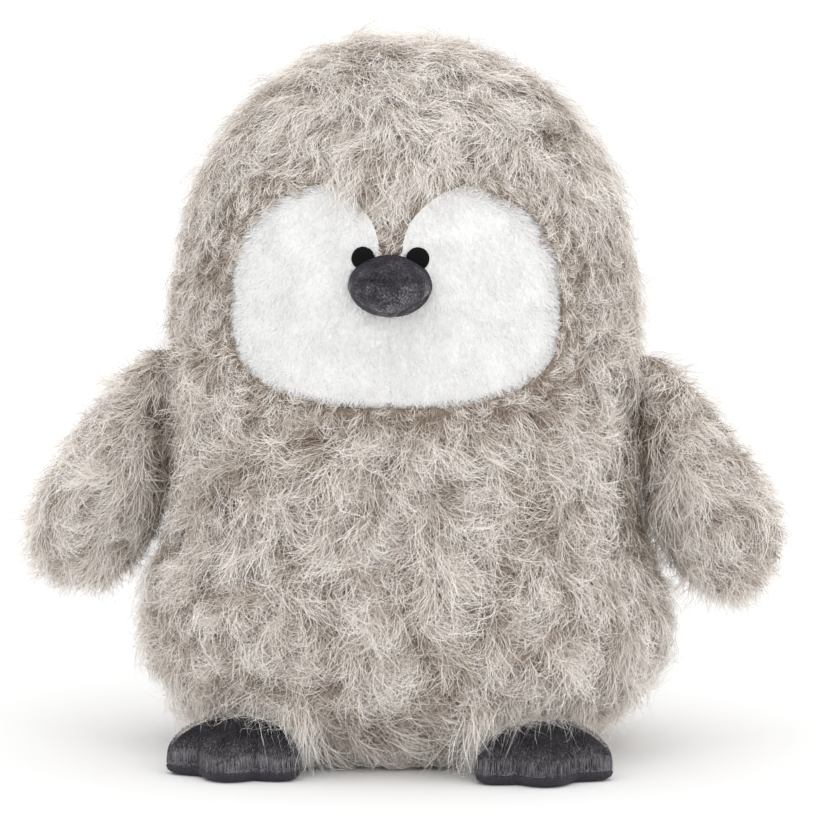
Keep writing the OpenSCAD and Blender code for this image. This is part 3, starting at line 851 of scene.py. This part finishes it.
def seamSurface(u, v):
    # stitches laid in the dip between the cheeks
    z = 129.5 * mm + 27.5 * mm * v
    x = (u - 0.5) * 0.5 * mm
    p = np.stack([x, -halfSizes(z)[1], z + 0 * u], -1)
    flat = p.reshape(-1, 3)
    bead = 0.1 * mm * np.abs(np.sin(np.pi * flat[:, 2] / (2.4 * mm))) + 0.05 * mm
    flat[:, 1] -= faceRelief(flat * [0, 1, 1]) + bead
    return flat.reshape(p.shape)


seam = clothSheet("face_seam_stitches", seamSurface, 90, 4, 0.3 * mm, whiteBackingMaterial)
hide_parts("face_seam")
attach(seam, "torso")
print("face made")


def lens(grow, reachShare, rings=30, around=96):
    # a stuffed lens: an ellipse whose front stands out like a flattened dome
    share = np.sin(np.linspace(0.02, 1, rings) * np.pi / 2)[:, None]
    turn = np.linspace(0, 2 * np.pi, around, endpoint=False)[None]
    x = beak["halfWidth"] * grow * share * np.cos(turn)
    z = beak["halfHeight"] * grow * share * np.sin(turn)
    y = -(beak["backY"] - beak["frontY"]) * reachShare * (1 - share ** 2.4) ** 0.6 + 0 * turn
    return np.stack([x, beak["backY"] + y, beak["middleZ"] + z], -1)


def closeBack(rings):
    # the last ring turned in behind the piece
    tuck = rings[-1] * [0.9, 1, 1] + [0, 2.5 * mm, 0]
    tuck[:, 2] = beak["middleZ"] + (tuck[:, 2] - beak["middleZ"]) * 0.9
    return np.concatenate([rings, tuck[None]])


def beakPlace(rings):
    # how far across and up a point lies, as shares of the beak's half width and half height
    return rings[..., 0] / beak["halfWidth"], (rings[..., 2] - beak["middleZ"]) / beak["halfHeight"]


def creaseDistance(x, z):
    return z * beak["halfHeight"] - beak["creaseZ"] + 1.4 * mm * x ** 2


def upperBeak():
    # the big front panel: a crease just above its middle, and its lower edge drawn up on both
    # sides of a notch at the middle
    rings = lens(1, 1)
    x, z = beakPlace(rings)
    share = np.hypot(x, z)
    low = smooth(-z * 1.6)
    rings[..., 2] += beak["lipLift"] * low * share ** 2 * (1 - np.exp(-(x / 0.3) ** 2))
    line = creaseDistance(x, z)
    crease = beak["creaseDip"] * np.exp(-(line / (0.7 * mm)) ** 2) * (1 - share ** 4)
    dent = 0.7 * mm * np.exp(-(line / (3 * mm)) ** 2) * (1 - share ** 2)
    notch = 0.8 * mm * np.exp(-(x / 0.06) ** 2) * smooth((-z - 0.6) / 0.25)
    rings[..., 1] += crease + dent + notch
    return rings


def beakSheenAndShade(rings):
    # painted sheen and shade: paler on the lower half and more so towards the toy's left, a painted highlight
    # along the sewn rim, painted shade in the crease and at the outer edge, darker over the top
    x, z = beakPlace(rings)
    share = np.linspace(0, 1, len(rings))[:, None] + 0 * x
    rim = smooth((share - 0.62) / 0.12) * smooth((0.9 - share) / 0.1) * smooth((0.35 - z) / 0.4)
    crease = np.exp(-(creaseDistance(x, z) / (0.8 * mm)) ** 2) * smooth((0.85 - np.abs(x)) / 0.2)
    edge = smooth((share - 0.9) / 0.08)
    return 0.44 - 0.2 * z * np.abs(z) ** 0.2 + 0.3 * rim + 0.1 * x * (z < 0) - 0.22 * crease - 0.25 * edge


topRings = upperBeak()
underRings = lens(0.985, 0.78)
stuffingRings = lens(0.86, 0.68)
for name, rings, node, slotName, material, nap in (
        ("beak_top_panel", topRings, "beak_upper", "velvet", velvetMaterial, beakSheenAndShade(topRings)),
        ("beak_under_panel", underRings, "beak_lower", "velvet", velvetMaterial,
         0.42 + 0 * underRings[..., 0]),
        ("beak_stuffing", stuffingRings, "beak_filling", "filling", fillingMaterial,
         0 * stuffingRings[..., 0])):
    piece = closedRings(name, closeBack(rings), material, np.concatenate([nap, nap[-1:]]))
    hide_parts(node)
    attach(piece, "torso")
growVelvet("beak_top_nap", topRings, "torso", 601)
growVelvet("beak_under_nap", underRings[16:], "torso", 602, perSquareMm=2.0)
print("beak made")


def eyeDisc(name, mirror):
    # an embroidered disc: a low dome of satin stitches laid side by side, each a rounded ridge
    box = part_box(f"eye_{'left' if mirror > 0 else 'right'}")
    middle = (np.array(box[0]) + np.array(box[1])) / 2
    radius = 4.0 * mm
    share = np.linspace(0.03, 1, 22)[:, None]
    turn = np.linspace(0, 2 * np.pi, 80, endpoint=False)[None]
    x = radius * share * np.cos(turn)
    z = radius * share * np.sin(turn)
    ridge = np.abs(np.sin(np.pi * (x + 0.15 * z) / (0.55 * mm)))
    high = 1.15 * mm * (1 - share ** 3.5) ** 0.6 + 0.12 * mm * ridge * (1 - share ** 6)
    tilt = np.radians(12)
    y = -high * np.cos(tilt) + z * np.sin(tilt) + mirror * x * math.tan(np.radians(5)) - 1.5 * mm
    up = z * np.cos(tilt) + high * np.sin(tilt)
    front = np.stack([middle[0] + x, middle[1] + y, middle[2] + up], -1)
    tuck = front[-1:] + [0, 2.2 * mm, 0]
    return closedRings(name, np.concatenate([front, tuck]), eyeMaterial)


# black rayon embroidery thread: deep black with a thin silky glint along each stitch
eyeMaterial = makeClothMaterial("black_rayon_satin_stitch", "#020202", "#070708", 0.4, 0.05,
                                {"Roughness": 0.6, "Specular IOR Level": 0.12})
for sideName, mirror in sides.items():
    eye = eyeDisc(f"eye_{sideName}_stitches", mirror)
    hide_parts(f"eye_{sideName}")
    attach(eye, "torso")
print("eyes made")


def footRings(profile, mirror, around=120):
    # the outline carried through a profile of (share of the outline, height, move to the back)
    turn = np.linspace(-np.pi, np.pi, around, endpoint=False)
    r = footReach(turn)
    rings = []
    for share, high, back in profile:
        x = mirror * (foot["middle"][0] + foot["stretch"] * share * r * np.cos(turn))
        y = foot["middle"][1] + back + share * r * np.sin(turn)
        rings.append(np.stack([x, y, high + 0 * turn], -1))
    return np.array(rings)


def footTop(mirror):
    # the pad's top: low at the toes, rising to the back, rounded over to the sewn edge
    profile = [(0.9, foot["edgeZ"] - 1.2 * mm, 0)]
    for a in np.linspace(0, 1, 22):
        arc = a * np.pi / 2
        high = foot["edgeZ"] + (foot["high"] - foot["edgeZ"]) * np.sin(arc) ** 0.95
        profile.append((max(np.cos(arc) ** 0.9, 0.02), high, 2 * mm * a ** 2))
    return footRings(profile, mirror)


def footSole(mirror):
    # flat on the floor, a rounded sewn edge, and closed flat under the top
    edge = foot["edgeZ"]
    profile = [(0.05, 0.15 * mm, 0), (0.8, 0.15 * mm, 0), (0.92, 0.3 * mm, 0), (0.99, 1.5 * mm, 0),
               (1.01, edge - 0.9 * mm, 0), (0.985, edge - 0.2 * mm, 0),
               (0.9, edge - 0.6 * mm, 0), (0.05, edge - 0.6 * mm, 0)]
    return footRings(profile, mirror)


def footSheenAndShade(rings):
    # painted highlight low down beside the sewn edge, painted shade towards the body
    z = rings[..., 2]
    return 0.36 + 0.2 * smooth((7.5 * mm - z) / (4 * mm)) - 0.24 * smooth((z - 9 * mm) / (7 * mm))


for sideName, mirror in sides.items():
    # the top's hairs: random tone, painted shade towards the body and a trace of painted highlight low down;
    # the edge's hairs are painted paler, a painted highlight along the sewn rim
    growVelvet(f"foot_{sideName}_nap", footTop(mirror)[1:], f"{sideName}_foot", 610 + int(mirror),
               lambda p: (0.2 * latticeNoise(p, 4 * mm, 95) - 0.3 * smooth((p[:, 2] - 9 * mm) / (7 * mm))
                          + 0.02 * smooth((7.5 * mm - p[:, 2]) / (4 * mm))), 2.7)
    growVelvet(f"foot_{sideName}_edge_nap", footSole(mirror)[2:6], f"{sideName}_foot", 620 + int(mirror),
               lambda p: 0.35 + 0 * p[:, 0], 4.0)
    top = closedRings(f"foot_{sideName}_top", footTop(mirror), velvetMaterial, footSheenAndShade(footTop(mirror)))
    sole = closedRings(f"foot_{sideName}_under", footSole(mirror), soleMaterial)
    for piece, node in ((top, f"foot_{sideName}_upper"), (sole, f"foot_{sideName}_sole")):
        if mirror < 0:
            piece.data.flip_normals()
        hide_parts(node)
        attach(piece, f"{sideName}_foot")
print("feet made")


shot = {
    "azimuth": 5.0,            # degrees towards the toy's left
    "elevation": 9.0,
    "distance": 6.0,
    "across": 286.4 * mm,      # width of the view at the toy
    "target": (3.1 * mm, 0, 115.2 * mm),
    "sensor": 36.0,
}


def makeStage():
    size = 9.0
    corners = np.array([[-size, -size, 0], [size, -size, 0], [size, size, 0], [-size, size, 0]])
    floor = buildMesh("studio_floor", corners, [np.array([[0, 1, 2, 3]])])
    material, shader = newMaterial("matte_white_paper", {"Roughness": 0.9, "Specular IOR Level": 0.1,
                                                         "Base Color": linear("#f6f6f6")})
    floor.data.materials.append(material)


def addSoftbox(name, place, aim, size, power, colour="#ffffff"):
    light = bpy.data.lights.new(name, "AREA")
    light.shape = "SQUARE"
    light.size = size
    light.energy = power
    light.color = linear(colour)[:3]
    lamp = bpy.data.objects.new(name, light)
    lamp.location = place
    toward = np.array(aim) - np.array(place)
    lamp.rotation_euler = mathutils.Vector(toward).to_track_quat("-Z", "Y").to_euler()
    bpy.context.scene.collection.objects.link(lamp)


def makeCamera():
    a, e = math.radians(shot["azimuth"]), math.radians(shot["elevation"])
    data = bpy.data.cameras.new("shot")
    data.sensor_width = shot["sensor"]
    data.lens = shot["sensor"] * shot["distance"] / shot["across"]
    data.clip_end = 20
    camera = bpy.data.objects.new("shot", data)
    way = np.array([math.sin(a) * math.cos(e), -math.cos(a) * math.cos(e), math.sin(e)])
    camera.location = np.array(shot["target"]) + way * shot["distance"]
    camera.rotation_euler = (math.pi / 2 - e, 0, a)
    bpy.context.scene.collection.objects.link(camera)
    bpy.context.scene.camera = camera


makeStage()
makeCamera()
addSoftbox("top_softbox", (0, -0.3, 1.4), (0, 0, 0.1), 1.0, 1.5)
addSoftbox("key_softbox", (1.0, -1.3, 1.2), (0, 0, 0.12), 0.8, 3)
world = bpy.data.worlds.new("studio")
world.use_nodes = True
world.node_tree.nodes["Background"].inputs["Color"].default_value = linear("#ffffff")
world.node_tree.nodes["Background"].inputs["Strength"].default_value = 1.14
bpy.context.scene.world = world
bpy.context.scene.view_settings.view_transform = "Standard"
print("stage and camera set")
